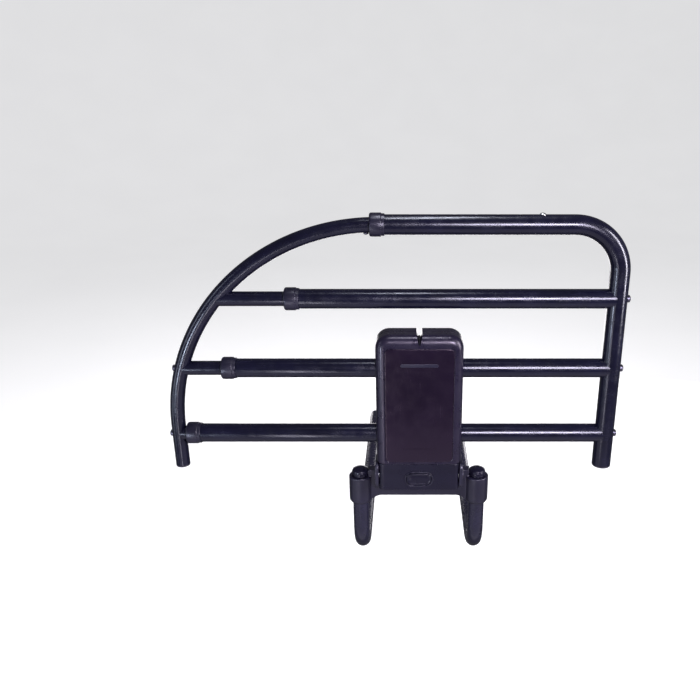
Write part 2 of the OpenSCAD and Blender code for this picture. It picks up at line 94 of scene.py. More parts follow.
LEG_LOW, LEG_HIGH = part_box("left_leg")
LEG_R = (LEG_HIGH.x - LEG_LOW.x) / 2
LEG_X = -(LEG_HIGH.x + LEG_LOW.x) / 2
LEG_Y = LEG_LOW.y + LEG_R
LEG_BEND_R = 55 * MM

SHELL_LOW, SHELL_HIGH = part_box("housing_front")
REAR_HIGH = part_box("housing_rear")[1]
COLLAR_LOW, COLLAR_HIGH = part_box("rail_collars")
COLLAR_R = (COLLAR_HIGH.y - COLLAR_LOW.y) / 2
COLLAR_LEAD = 6 * MM
SNAP = middle("snap_button")
HOLE_PITCH = 30 * MM
SCREW_X = 50 * MM
PANEL_MID = middle("front_panel").z
BUTTON_Z = PIN.z - 3 * MM


# ---- Mesh building ----

def arc_points(centre, radius, start, end, steps):
    """Points on a circle of the plane, from one angle in degrees to another."""
    points = []
    for k in range(steps + 1):
        angle = math.radians(start + (end - start) * k / steps)
        points.append((centre[0] + radius * math.cos(angle), centre[1] + radius * math.sin(angle)))
    return points


def rounded(corners, radii, steps=6, per_edge=1, closed=True):
    """A line through corners of the plane, each turned into an arc of its own radius."""
    count = len(corners)
    points = []
    for i, corner in enumerate(corners):
        at = Vector(corner)
        if not closed and i in (0, count - 1):
            points.append(at)
            continue
        before = (Vector(corners[i - 1]) - at).normalized()
        after = (Vector(corners[(i + 1) % count]) - at).normalized()
        half = before.angle(after) / 2
        reach = radii[i] / math.tan(half)
        centre = at + (before + after).normalized() * radii[i] / math.sin(half)
        first, last = at + before * reach - centre, at + after * reach - centre
        turn = math.atan2(first.x * last.y - first.y * last.x, first.dot(last))
        for k in range(steps + 1):
            c, s = math.cos(turn * k / steps), math.sin(turn * k / steps)
            points.append(centre + Vector((c * first.x - s * first.y, s * first.x + c * first.y)))
    if per_edge == 1:
        return points
    full = []
    for i, point in enumerate(points):
        full.append(point)
        ahead = points[(i + 1) % len(points)]
        if (i + 1) % (steps + 1) == 0:
            full += [point.lerp(ahead, k / per_edge) for k in range(1, per_edge)]
    return full


def loft(rings, cap_first=True, cap_last=True, around=False):
    """A skin over closed rings of equal length. With around, the last ring joins the first."""
    count = len(rings[0])
    points = [Vector(p) for ring in rings for p in ring]
    faces = []
    for i in range(len(rings) if around else len(rings) - 1):
        a, b = i * count, (i + 1) % len(rings) * count
        for k in range(count):
            n = (k + 1) % count
            faces.append((a + k, a + n, b + n, b + k))
    if cap_first and not around:
        faces.append(tuple(reversed(range(count))))
    if cap_last and not around:
        faces.append(tuple(range(len(points) - count, len(points))))
    return points, faces


def joined(parts):
    """Several skins as one."""
    points, faces = [], []
    for more_points, more_faces in parts:
        faces += [tuple(i + len(points) for i in face) for face in more_faces]
        points += more_points
    return points, faces


def basis(direction):
    """Two directions square to a third."""
    side = Y if abs(direction.dot(Y)) < 0.9 else Z
    u = (side - direction * side.dot(direction)).normalized()
    return u, direction.cross(u)


def ring_at(centre, u, v, radius, count):
    angles = [2 * math.pi * k / count for k in range(count)]
    return [centre + u * radius * math.cos(a) + v * radius * math.sin(a) for a in angles]


def lathe(profile, origin, direction, count=64):
    """A turned solid. The profile is (radius, distance along the axis), in millimetres. It
    either closes on itself, or starts and ends on the axis."""
    u, v = basis(direction)
    solid = profile[0][0] == 0
    rings = [ring_at(origin + direction * d * MM, u, v, r * MM, count)
             for r, d in profile if r > 0]
    if not solid:
        return loft(rings, around=True)
    points, faces = loft(rings, cap_first=False, cap_last=False)
    last = len(points) - count
    for centre, first, flip in ((profile[0], 0, True), (profile[-1], last, False)):
        points.append(origin + direction * centre[1] * MM)
        hub = len(points) - 1
        for k in range(count):
            face = (first + k, first + (k + 1) % count, hub)
            faces.append(face[::-1] if flip else face)
    return points, faces


def pipe(path, radius, bore=None, count=48, lip=0.35 * MM):
    """A tube along a path in one plane, with small rounded lips. Without a bore it is solid."""
    path = [Vector(p) for p in path]
    across = X if all(abs(p.x - path[0].x) < 1e-7 for p in path) else Y

    def rings(r, trim):
        made = []
        for i, p in enumerate(path):
            ahead = path[min(i + 1, len(path) - 1)] - path[max(i - 1, 0)]
            ahead.normalize()
            at = p
            if i == 0:
                at = p + ahead * trim
            if i == len(path) - 1:
                at = p - ahead * trim
            made.append(ring_at(at, across, ahead.cross(across), r, count))
        return made

    outside = rings(radius, lip)
    end_outside = rings(radius - lip, 0)
    if bore is None:
        return loft([end_outside[0]] + outside + [end_outside[-1]])
    inside = rings(bore, lip)
    end_inside = rings(bore + lip, 0)
    skin = [end_outside[0]] + outside + [end_outside[-1], end_inside[-1]]
    return loft(skin + inside[::-1] + [end_inside[0]], around=True)


def prism(outline, low, high, axis=Y):
    """An outline, given as (x, z) or as (y, z) when the axis is X, pushed from low to high."""
    def place(p, d):
        return Vector((p[0], d, p[1])) if axis == Y else Vector((d, p[0], p[1]))
    return loft([[place(p, low) for p in outline], [place(p, high) for p in outline]])


def straight(start, end, step=12 * MM):
    """Even points on a straight line."""
    start, end = Vector(start), Vector(end)
    count = max(2, round((end - start).length / step))
    return [start.lerp(end, k / count) for k in range(count + 1)]


def turned(centre, radius, start, end, plane="xz", step=3.0):
    """Points on an arc that lies in the plane of the rails or of a leg, angles in degrees."""
    count = round(abs(end - start) / step)
    flat = arc_points((0, 0), radius, start, end, count)
    if plane == "xz":
        return [centre + Vector((a, 0, b)) for a, b in flat]
    return [centre + Vector((0, a, b)) for a, b in flat]


def mesh_object(name, skin, sharp=35):
    """An object from points and faces, shaded smooth apart from its sharp edges."""
    mesh = bpy.data.meshes.new(name)
    mesh.from_pydata([tuple(p) for p in skin[0]], [], skin[1])
    tidy = bmesh.new()
    tidy.from_mesh(mesh)
    bmesh.ops.recalc_face_normals(tidy, faces=tidy.faces)
    tidy.to_mesh(mesh)
    tidy.free()
    mesh.shade_smooth()
    mesh.set_sharp_from_angle(angle=math.radians(sharp))
    made = bpy.data.objects.new(name, mesh)
    bpy.context.scene.collection.objects.link(made)
    return made


def settle(made, sharp=35):
    """Turns an object's modifiers into its mesh."""
    bpy.context.view_layer.update()
    graph = bpy.context.evaluated_depsgraph_get()
    mesh = bpy.data.meshes.new_from_object(made.evaluated_get(graph))
    made.modifiers.clear()
    old, made.data = made.data, mesh
    bpy.data.meshes.remove(old)
    mesh.name = made.name
    mesh.shade_smooth()
    mesh.set_sharp_from_angle(angle=math.radians(sharp))
    return made


def subtract(made, tools, sharp):
    """Takes other objects away from an object, and leaves no trace of them in the scene."""
    for tool in tools:
        change = made.modifiers.new("cut", "BOOLEAN")
        change.operation = "DIFFERENCE"
        change.solver = "EXACT"
        change.object = tool
    settle(made, sharp)
    for tool in tools:
        mesh = tool.data
        bpy.data.objects.remove(tool)
        bpy.data.meshes.remove(mesh)
    return made


def cut(made, *skins, sharp=35):
    """Takes skins away from an object."""
    return subtract(made, [mesh_object("tool", skin) for skin in skins], sharp)


def piece(made, body, material, *nodes, slot=None):
    """Gives a mesh its finish and its body, and hides the CAD nodes that it stands for."""
    made.data.materials.clear()
    made.data.materials.append(MATERIALS[material])
    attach(made, body)
    if nodes:
        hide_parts(*nodes)
    return made


# ---- Materials ----

class Shader:
    """A material with one Principled shader and short ways to add the nodes that drive it."""

    def __init__(self, name, **values):
        self.material = bpy.data.materials.new(name)
        self.material.use_nodes = True
        self.tree = self.material.node_tree
        self.out = self.tree.nodes["Principled BSDF"]
        for socket, value in values.items():
            self.out.inputs[socket.replace("_", " ")].default_value = value
        self.place = self.tree.nodes.new("ShaderNodeTexCoord").outputs["Object"]

    def add(self, kind, inputs=(), **settings):
        made = self.tree.nodes.new("ShaderNode" + kind)
        for name, value in settings.items():
            setattr(made, name, value)
        for name, value in dict(inputs).items():
            if isinstance(value, bpy.types.NodeSocket):
                self.tree.links.new(value, made.inputs[name])
            else:
                made.inputs[name].default_value = value
        return made

    def link(self, output, socket):
        self.tree.links.new(output, self.out.inputs[socket])

    def noise(self, scale, detail=3.0, roughness=0.55, stretch=(1, 1, 1)):
        place = self.add("Mapping", {"Vector": self.place, "Scale": stretch}).outputs[0]
        made = self.add("TexNoise", {"Vector": place, "Scale": scale, "Detail": detail,
                                     "Roughness": roughness})
        return made.outputs["Fac"]

    def cells(self, scale):
        made = self.add("TexVoronoi", {"Vector": self.place, "Scale": scale})
        return made.outputs["Distance"]

    def spread(self, value, low, high, start=0.35, end=0.65):
        made = self.add("MapRange", {"Value": value, "From Min": start, "From Max": end,
                                     "To Min": low, "To Max": high})
        return made.outputs[0]

    def blend(self, factor, one, other):
        made = self.add("Mix", data_type="RGBA")
        self.tree.links.new(factor, made.inputs["Factor"])
        for index, value in ((6, one), (7, other)):
            if isinstance(value, bpy.types.NodeSocket):
                self.tree.links.new(value, made.inputs[index])
            else:
                made.inputs[index].default_value = value
        return made.outputs[2]

    def bumps(self, *layers):
        """Stacks bumps, each a (height, strength, depth in metres)."""
        normal = None
        for height, strength, depth in layers:
            inputs = {"Height": height, "Strength": strength, "Distance": depth}
            if normal is not None:
                inputs["Normal"] = normal
            normal = self.add("Bump", inputs).outputs[0]
        self.link(normal, "Normal")


def tint(colour, factor):
    return tuple(min(1.0, c * factor) for c in colour) + (1.0,)


def powder_coat(name, colour, rough, scratched):
    """Gloss powder coat: orange peel, fine flake, cloudy gloss and, on the rail's tubes, rub marks."""
    s = Shader(name, IOR=1.5, Specular_IOR_Level=0.36, Specular_Tint=(0.87, 0.87, 1.0, 1.0))
    cloud = s.noise(22, 4)
    flake = s.cells(2600)
    base = s.blend(s.spread(cloud, 0, 1), tint(colour, 0.8), tint(colour, 1.25))
    base = s.blend(s.spread(flake, 0.28, 0, 0.0, 0.35), base, tint(colour, 2.6))
    gloss = s.spread(s.noise(60, 5), rough * 0.8, rough * 1.3)
    peel = s.noise(520, 2, 0.5)
    fine = s.noise(2400, 2, 0.6)
    if scratched:
        rubs = s.noise(1500, 2, 0.6, (0.02, 1, 1))
        marks = s.spread(rubs, 0, 1, 0.60, 0.72)
        base = s.blend(s.spread(marks, 0, 0.3, 0, 1), base, tint(colour, 4.5))
        gloss = s.add("Math", {0: gloss, 1: s.spread(marks, 0, 0.07, 0, 1)}, operation="ADD").outputs[0]
    s.link(base, "Base Color")
    s.link(gloss, "Roughness")
    s.bumps((peel, 0.015, 0.00004), (fine, 0.012, 0.00002))
    return s.material


def moulded(name, colour, rough, level=0.4, grain=1500, depth=0.00006):
    """Moulded plastic: spark-eroded grain, faint flow marks and slightly uneven gloss."""
    s = Shader(name, IOR=1.49, Specular_IOR_Level=level, Specular_Tint=(0.88, 0.85, 1.0, 1.0))
    flow = s.noise(14, 3, 0.5, (1, 1, 2.5))
    speck = s.noise(grain * 1.7, 2, 0.7)
    base = s.blend(s.spread(flow, 0, 1), tint(colour, 0.86), tint(colour, 1.16))
    base = s.blend(s.spread(speck, 0, 0.3, 0.5, 0.8), base, tint(colour, 1.9))
    s.link(base, "Base Color")
    s.link(s.spread(s.noise(45, 4), rough * 0.85, rough * 1.15), "Roughness")
    s.bumps((s.noise(grain, 3, 0.65), 0.28, depth), (s.cells(grain * 0.6), 0.12, depth))
    return s.material


def glossy(name, colour, rough, sheen):
    """Glossy moulding with soft waviness and a few fine wipe marks."""
    s = Shader(name, IOR=1.5, Specular_IOR_Level=0.34, Specular_Tint=tint(sheen, 1))
    cloud = s.noise(9, 3)
    base = s.blend(s.spread(cloud, 0, 1), tint(colour, 0.85), tint(colour, 1.2))
    wipes = s.spread(s.noise(900, 2, 0.6, (1, 1, 0.03)), 0, 1, 0.64, 0.74)
    base = s.blend(s.spread(wipes, 0, 0.06, 0, 1), base, tint(colour, 3.0))
    s.link(base, "Base Color")
    gloss = s.spread(s.noise(70, 4), rough * 0.8, rough * 1.2)
    gloss = s.add("Math", {0: gloss, 1: s.spread(wipes, 0, 0.06, 0, 1)}, operation="ADD").outputs[0]
    s.link(gloss, "Roughness")
    s.bumps((s.noise(38, 2, 0.4), 0.05, 0.0004), (s.noise(1700, 2, 0.5), 0.03, 0.00003))
    return s.material


def metal(name, colour, rough, stretch=(1, 1, 1), dull=0.5):
    """Plated or blackened steel with grain along the way it was drawn and dull patches."""
    s = Shader(name, Metallic=1.0)
    patches = s.noise(260, 4)
    grain = s.noise(2600, 2, 0.6, stretch)
    base = s.blend(s.spread(patches, 0, 1, 0.3, 0.7), tint(colour, dull), tint(colour, 1.15))
    s.link(base, "Base Color")
    s.link(s.spread(grain, rough * 0.7, rough * 1.4), "Roughness")
    s.bumps((grain, 0.15, 0.00003), (patches, 0.06, 0.00006))
    return s.material


def rubber(name, colour):
    """Matte rubber with a pebbled skin and a little bloom."""
    s = Shader(name, IOR=1.5)
    bloom = s.noise(120, 4)
    s.link(s.blend(s.spread(bloom, 0, 1), tint(colour, 0.8), tint(colour, 1.8)), "Base Color")
    s.link(s.spread(bloom, 0.6, 0.85), "Roughness")
    s.bumps((s.cells(1500), 0.35, 0.0001), (s.noise(900, 3), 0.2, 0.00008))
    return s.material


MATERIALS = {
    "tube_paint": powder_coat("tube_paint", (0.0022, 0.0021, 0.0074), 0.22, True),
    "leg_paint": powder_coat("leg_paint", (0.0062, 0.0055, 0.0142), 0.25, False),
    "satin_plastic": moulded("satin_plastic", (0.0050, 0.0044, 0.0112), 0.34),
    "dark_plastic": moulded("dark_plastic", (0.0032, 0.0028, 0.0078), 0.29, 0.26),
    "gloss_panel": glossy("gloss_panel", (0.0040, 0.0021, 0.0066), 0.22, (1.0, 0.80, 1.0)),
    "gloss_shell": glossy("gloss_shell", (0.0052, 0.0040, 0.0110), 0.31, (0.92, 0.83, 1.0)),
    "inner_plastic": moulded("inner_plastic", (0.014, 0.013, 0.018), 0.55),
    "plated_steel": metal("plated_steel", (0.55, 0.55, 0.58), 0.32),
    "dark_steel": metal("dark_steel", (0.10, 0.095, 0.13), 0.34),
    "bright_steel": metal("bright_steel", (0.78, 0.78, 0.80), 0.16, dull=0.8),
    "spring_steel": metal("spring_steel", (0.60, 0.60, 0.62), 0.26, (1, 0.1, 1)),
    "buffer_rubber": rubber("buffer_rubber", (0.020, 0.020, 0.022)),
}


# ---- Tubes ----

def main_path():
    centre = Vector((POST_X - CORNER_R, RAIL_Y, TOP_Z - CORNER_R))
    return (straight((POST_LOW.x, RAIL_Y, TOP_Z), (centre.x, RAIL_Y, TOP_Z))[:-1]
            + turned(centre, CORNER_R, 90, 0)
            + straight((POST_X, RAIL_Y, centre.z), (POST_X, RAIL_Y, END_Z))[1:])


def arc_path():
    return (straight((ARC_HIGH.x, RAIL_Y, TOP_Z), (ARC_CENTRE.x, RAIL_Y, TOP_Z))[:-1]
            + turned(ARC_CENTRE, ARC_R, 90, 180, step=1.25)
            + straight((ARC_X, RAIL_Y, ARC_CENTRE.z), (ARC_X, RAIL_Y, END_Z))[1:])


def main_tube():
    """The bent top tube and end post, with its row of adjusting holes."""
    made = mesh_object("top_tube", pipe(main_path(), OUTER_R, OUTER_R - WALL))
    travel = joint("rail_extend")["range_m"][1]
    holes = []
    for k in range(round(travel / HOLE_PITCH) + 1):
        at = Vector((SNAP.x - k * HOLE_PITCH, RAIL_Y, TOP_Z))
        rim = [(0, 5), (4.3, 5), (4.3, 13.3), (5.0, 14.1), (5.0, 20), (0, 20)]
        holes.append(lathe(rim, at, Z, 32))
    cut(made, *holes)
    piece(made, "rail", "tube_paint", "main_tube")


def fixed_rails():
    """Straight tubes with their right ends shaped to the post."""
    post = pipe(straight((POST_X, RAIL_Y, END_Z), (POST_X, RAIL_Y, TOP_Z - CORNER_R), 0.1),
                OUTER_R + 0.04 * MM, count=96)
    for i, name in enumerate(RAILS, 1):
        low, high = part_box(name + "_rail")
        path = straight((low.x, RAIL_Y, RAIL_Z[i]), (high.x, RAIL_Y, RAIL_Z[i]))
        made = mesh_object(name + "_tube", pipe(path, OUTER_R, OUTER_R - WALL))
        piece(cut(made, post), "rail", "tube_paint", name + "_rail")


def arc_tube():
    hole = lathe([(0, 5), (4.1, 5), (4.1, 14), (0, 14)], Vector((SNAP.x, RAIL_Y, TOP_Z)), Z, 32)
    made = mesh_object("arc", pipe(arc_path(), INNER_R, INNER_R - WALL))
    piece(cut(made, hole), "extension", "tube_paint", "arc_tube")


def sliding_rails():
    """Inner tubes with their left ends shaped to the arc."""
    arc = pipe(turned(ARC_CENTRE, ARC_R, 120, 180, step=0.75)
               + straight((ARC_X, RAIL_Y, ARC_CENTRE.z), (ARC_X, RAIL_Y, END_Z))[1:],
               INNER_R + 0.04 * MM, count=96)
    for i, name in enumerate(RAILS, 1):
        low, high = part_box(name + "_slide")
        path = straight((low.x, RAIL_Y, RAIL_Z[i]), (high.x, RAIL_Y, RAIL_Z[i]))
        made = mesh_object(name + "_inner_tube", pipe(path, INNER_R, INNER_R - WALL))
        piece(cut(made, arc), "extension", "tube_paint", name + "_slide")


def legs():
    """J-shaped tubes: down from the bracket, then under the mattress."""
    low = LEG_LOW.z + LEG_R
    centre = Vector((0, LEG_Y + LEG_BEND_R, low + LEG_BEND_R))
    for side, name in ((-1, "left_leg"), (1, "right_leg")):
        x = Vector((side * LEG_X, 0, 0))
        path = (straight((0, LEG_Y, LEG_HIGH.z), (0, LEG_Y, centre.z))[:-1]
                + turned(centre, LEG_BEND_R, 180, 270, "yz")
                + straight((0, centre.y, low), (0, LEG_HIGH.y, low), 20 * MM)[1:])
        made = mesh_object(name + "_tube", pipe([p + x for p in path], LEG_R, LEG_R - WALL))
        piece(made, "base", "leg_paint", name)


# ---- Turned fittings ----

def collars():
    """Guide bushes: a soft front edge, a step at the back and a bore for the inner tube."""
    r = COLLAR_R / MM
    lip, run = INNER_R / MM + 0.45, INNER_R / MM + 0.1
    tube, bore = OUTER_R / MM, (OUTER_R - WALL) / MM
    corners = [(lip, 0), (r, 0), (r, 16.6), (tube + 1.3, 16.6), (tube + 1.3, 21), (tube, 21),
               (tube, 6), (bore, 6), (bore, 26.5), (run, 26.5), (run, 13.5), (lip, 12.5)]
    radii = [0.5, 2.6, 0.9, 0.4, 0.5, 0.15, 0.15, 0.2, 0.4, 0.3, 0.3, 0.3]
    profile = rounded(corners, radii, 5)
    tubes = ["main_tube"] + [name + "_rail" for name in RAILS]
    starts = [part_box(name)[0].x - COLLAR_LEAD for name in tubes]
    made = [lathe(profile, Vector((x, RAIL_Y, z)), X, 72) for x, z in zip(starts, RAIL_Z)]
    # A small raised key on the front of each collar keeps the bush from turning
    for x, z in zip(starts, RAIL_Z):
        bar = rounded([(x + 5 * MM, z - 2 * MM), (x + 15 * MM, z - 2 * MM),
                       (x + 15 * MM, z + 2 * MM), (x + 5 * MM, z + 2 * MM)], [1.9 * MM] * 4, 5)
        rings = []
        for inset, out in ((0, -0.8), (0, 0.12), (0.15, 0.3), (0.5, 0.38)):
            mid = Vector((x + 10 * MM, z))
            ring = [mid + (Vector(p) - mid) * (1 - inset * MM / (2 * MM)) for p in bar]
            rings.append([Vector((p.x, RAIL_Y - COLLAR_R + 0.4 * MM - out * MM, p.y)) for p in ring])
        made.append(loft(rings))
    piece(mesh_object("collars", joined(made)), "rail", "satin_plastic", "rail_collars")


def plug_profile(rim, bore):
    """Section of an end plug, rim outwards at 0 and stem inwards."""
    corners = [(0, -2.5), (rim, -2.5), (rim, 0), (bore, 0), (bore, 13), (bore - 2, 13),
               (bore - 2, 1), (0, 1)]
    return [(0, -2.5)] + [tuple(p) for p in
                          rounded(corners, [0, 1.1, 0.25, 0.2, 0.4, 0.4, 0.4, 0], 4, closed=False)[1:]]


def end_plugs():
    """Moulded plugs in the open ends of the tubes."""
    for name, node, body, origin, inwards, rim in (
            ("post_end_plug", "post_plug", "rail", (POST_X, RAIL_Y, END_Z), Z, OUTER_R),
            ("arc_end_plug", "arc_plug", "extension", (ARC_X, RAIL_Y, END_Z), Z, INNER_R)):
        profile = plug_profile(rim / MM, (rim - WALL) / MM - 0.05)
        made = mesh_object(name, lathe(profile, Vector(origin), inwards))
        piece(made, body, "inner_plastic", node)
    end = LEG_HIGH.y
    low = LEG_LOW.z + LEG_R
    profile = plug_profile(LEG_R / MM, (LEG_R - WALL) / MM - 0.05)
    made = [lathe(profile, Vector((side * LEG_X, end, low)), -Y) for side in (-1, 1)]
    piece(mesh_object("leg_plugs", joined(made)), "base", "inner_plastic", "leg_end_plugs")


def leg_caps():
    """Domed caps with a bevelled shoulder on the bracket's sleeves."""
    tall, wide = 13.5, 13.0
    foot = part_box("leg_caps")[1].z - tall * MM
    stem = (LEG_R - WALL) / MM - 0.05
    ball = 19.4
    crown = arc_points((0, tall - ball), ball, 52, 90, 10)
    outline = [(0, -15), (stem - 1, -15), (stem, -14), (stem, 0), (wide - 0.4, 0), (wide, 0.4), (wide, 6.4),
               (wide - 0.12, 6.9), (wide - 0.45, 7.5), (wide - 0.62, 8.2), (wide - 0.75, 8.8)]
    outline += crown[:-1] + [(0, tall)]
    made = []
    for side in (-1, 1):
        made.append(lathe(outline, Vector((side * LEG_X, LEG_Y, foot)), Z, 72))
    piece(mesh_object("leg_cap_pair", joined(made), 30), "base", "dark_plastic", "leg_caps",
          slot="satin_plastic")


def head_profile(radius, height, dome, shank, length):
    """Section of a round-headed bolt: shank from -length, head from 0."""
    ball = (radius * radius + dome * dome) / (2 * dome)
    edge = math.degrees(math.acos(min(1, radius * 0.93 / ball)))
    crown = arc_points((0, height - ball), ball, edge, 90, 8)
    line = [(0, -length), (shank - 0.4, -length), (shank, -length + 0.4), (shank, 0)]
    line += [(radius - 0.25, 0), (radius, 0.3), (radius, height - dome - 0.35)]
    return line + crown[:-1] + [(0, height)]


def bolts(name, node, body, material, places, direction, sizes, socket):
    """Round-headed bolts with hexagon sockets, as one piece."""
    radius, height, dome, shank, length = sizes
    profile = head_profile(radius, height, dome, shank, length)
    made = mesh_object(name, joined([lathe(profile, at, direction, 40) for at in places]), 30)
    if socket:
        u, v = basis(direction)
        tools = []
        for at in places:
            top = at + direction * (height + 1) * MM
            floor = at + direction * (height - 1.9) * MM
            tools.append(loft([ring_at(floor, u, v, socket * MM, 6), ring_at(top, u, v, socket * MM, 6)]))
        cut(made, joined(tools), sharp=30)
    return piece(made, body, material, node)


def screw_heights():
    low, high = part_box("housing_screws")
    return [low.z + 3.6 * MM, (RAIL_Z[2] + RAIL_Z[3]) / 2, high.z - 3.6 * MM]


def fasteners():
    """The bolts in the post and in the arc, and the screws in the back of the housing."""
    post_side = POST_X + OUTER_R - 1.1 * MM
    bolts("post_bolts", "rail_bolts", "rail", "dark_steel",
          [Vector((post_side, RAIL_Y, z)) for z in RAIL_Z[1:]], X,
          (5.3, 5.6, 1.9, 3.0, 46), 1.9)
    places = []
    for i in (2, 3):
        drop = RAIL_Z[i] - ARC_CENTRE.z
        x = ARC_X if drop < 0 else ARC_CENTRE.x - math.sqrt(ARC_R ** 2 - drop ** 2)
        places.append(Vector((x - INNER_R + 0.9 * MM, RAIL_Y, RAIL_Z[i])))
    bolts("arc_bolts", "slide_bolts", "extension", "dark_steel", places, -X,
          (4.8, 4.4, 1.7, 2.5, 33), 1.6)
    screws = [Vector((x, REAR_HIGH.y - 3 * MM, z)) for x in (-SCREW_X, SCREW_X)
              for z in screw_heights()]
    bolts("shell_screws", "housing_screws", "rail", "plated_steel", screws, Y,
          (3.6, 2.4, 1.0, 1.65, 35), 1.4)


def pivot_pins():
    head = 2.6
    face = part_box("pivot_pins")[1].x - head * MM
    pins = []
    for direction in (X, -X):
        at = Vector((face * direction.x, PIN.y, PIN.z))
        pins.append(lathe(head_profile(7, head, 1.3, 4, 20.1), at, direction, 48))
    piece(mesh_object("pivot_pin_pair", joined(pins), 30), "base", "dark_steel", "pivot_pins",
          slot="plated_steel")


def stop_screw():
    """The stop under the arc tube, beside the top collar and square to the tube."""
    angle = math.radians(2.75)
    out = Vector((-math.sin(angle), 0, math.cos(angle)))
    at = ARC_CENTRE + out * (ARC_R - INNER_R - 0.03 * MM)
    bolts("slide_stop", "stop_screw", "extension", "dark_steel", [at], -out,
          (3.6, 3.0, 1.4, 2.0, 4), 1.2)


def snap_button():
    """Polished button with a rounded crown on a flange that stays inside the tube."""
    low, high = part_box("snap_button")
    top = (high.z - low.z) / MM
    corners = [(0, 0), (5.5, 0), (5.5, 1.5), (4, 1.5), (4, top - 1.5)]
    crown = arc_points((0, top - 5.75), 5.75, 42, 90, 10)
    profile = corners + crown[1:-1] + [(0, top)]
    made = mesh_object("snap_pin", lathe(profile, Vector((SNAP.x, RAIL_Y, low.z)), Z, 48))
    piece(made, "snap", "bright_steel", "snap_button")


def wound(x, start, end, z, radius=3.2 * MM, wire=0.45 * MM, turns=6):
    """A compression spring along Y with closed ends."""
    steps = 28 * turns
    closed = 0.9 / turns
    points = []
    for k in range(steps + 1):
        share = k / steps
        free = min(1, max(0, (share - closed) / (1 - 2 * closed)))
        ends = (share - free * (1 - 2 * closed)) / (2 * closed)
        solid = 4 * wire * closed * turns
        along = start + wire + (end - start - 2 * wire - solid) * free + solid * ends
        angle = 2 * math.pi * turns * share
        points.append(Vector((x + radius * math.cos(angle), along, z + radius * math.sin(angle))))
    rings = []
    for k, point in enumerate(points):
        ahead = (points[min(k + 1, steps)] - points[max(k - 1, 0)]).normalized()
        out = Vector((point.x - x, 0, point.z - z)).normalized()
        out = (out - ahead * out.dot(ahead)).normalized()
        rings.append(ring_at(point, out, ahead.cross(out), wire, 10))
    return loft(rings)


def coil_springs():
    """Two springs behind the release button, drawn at one length; the real ones shorten as it is pressed."""
    low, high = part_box("release_springs")
    start = low.y + 0.05 * MM
    coils = [wound(x, start, high.y, PIN.z + 3 * MM) for x in (-15 * MM, 15 * MM)]
    made = mesh_object("button_springs", joined(coils), 60)
    piece(made, "rail", "spring_steel", "release_springs")
    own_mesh(made)


def leaf_spring():
    """The folded leaf under the snap button, drawn at one length; the real one shortens as the button is pressed.
    """
    low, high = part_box("snap_spring")
    corners = [(-17, -8.2), (11, -8.2), (11, -7.5), (-15, -7.5), (-3, 4.1), (5, 4.1), (5, 4.9), (-3.4, 4.9),
               (-17, -7.9)]
    radii = [0.05, 0.3, 0.3, 0.5, 0.8, 0.3, 0.3, 1.4, 0.1]
    leaf = rounded([(SNAP.x + x * MM, TOP_Z + z * MM) for x, z in corners], [r * MM for r in radii], 6)
    made = mesh_object("leaf_spring", prism(leaf, low.y, high.y), 40)
    piece(made, "extension", "spring_steel", "snap_spring")
    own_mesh(made)


# ---- Housing ----

HALF_W = SHELL_HIGH.x
FOOT_Z = SHELL_LOW.z
HEAD_Z = SHELL_HIGH.z
FRONT_Y = SHELL_LOW.y
BACK_Y = REAR_HIGH.y
SHELL = 2.6 * MM


def outline_ring(y, inset, foot=0.0, top_r=20 * MM, foot_r=2.5 * MM):
    """The housing's front outline at one depth, drawn in at the sides and top, and at the foot."""
    w, low, high = HALF_W - inset, FOOT_Z + foot, HEAD_Z - inset
    top = max(top_r - inset, 5 * MM)
    points = rounded([(-w, low), (-w, high), (w, high), (w, low)], [foot_r, top, top, foot_r], 14, 14)
    return [Vector((p.x, y, p.y)) for p in points]


def shell_rings(start, end, fillet, recess):
    """Outer skin of one shell, from the parting plane to its face, with a soft parting edge."""
    way = 1 if end > start else -1
    rings = [outline_ring(start + way * d * MM, i * MM, i * MM) for d, i in
             ((0, 0.45), (0.2, 0.12), (0.6, 0))]
    edge = end - way * fillet
    rings += [outline_ring(start + (edge - start) * k / 4, 0) for k in (1, 2, 3, 4)]
    for k in range(1, 13):
        turn = math.radians(90 * k / 12)
        inset = fillet * (1 - math.cos(turn))
        rings.append(outline_ring(edge + way * fillet * math.sin(turn), inset, inset * 0.05))
    if recess:
        for inset, foot, depth, corner in ((12.6, 3.2, 0, 6), (13.1, 3.8, 0.12, 7), (13.3, 4.0, 0.5, 7.5),
                                           (13.3, 4.0, 1.35, 7.5)):
            rings.append(outline_ring(end - way * depth * MM, inset * MM, foot * MM,
                                      foot_r=corner * MM))
    return rings


def hollow(start, end, fillet):
    """The room inside one shell, running past the parting plane."""
    way = 1 if end > start else -1
    face = end - way * SHELL
    edge = face - way * fillet
    rings = [outline_ring(start - way * 5 * MM, SHELL, SHELL), outline_ring(edge, SHELL, SHELL)]
    for k in range(1, 7):
        turn = math.radians(90 * k / 6)
        inset = SHELL + fillet * (1 - math.cos(turn))
        rings.append(outline_ring(edge + way * fillet * math.sin(turn), inset, SHELL))
    return loft(rings)


def notch_outline(extra):
    top, low = HEAD_Z + 2 * MM, HEAD_Z - 13 * MM - extra
    wide, narrow = 4.5 * MM + extra, 1.25 * MM + extra
    return rounded([(-wide, top), (wide, top), (narrow, low), (-narrow, low)],
                   [0.1 * MM, 0.1 * MM, 1.1 * MM, 1.1 * MM], 5)


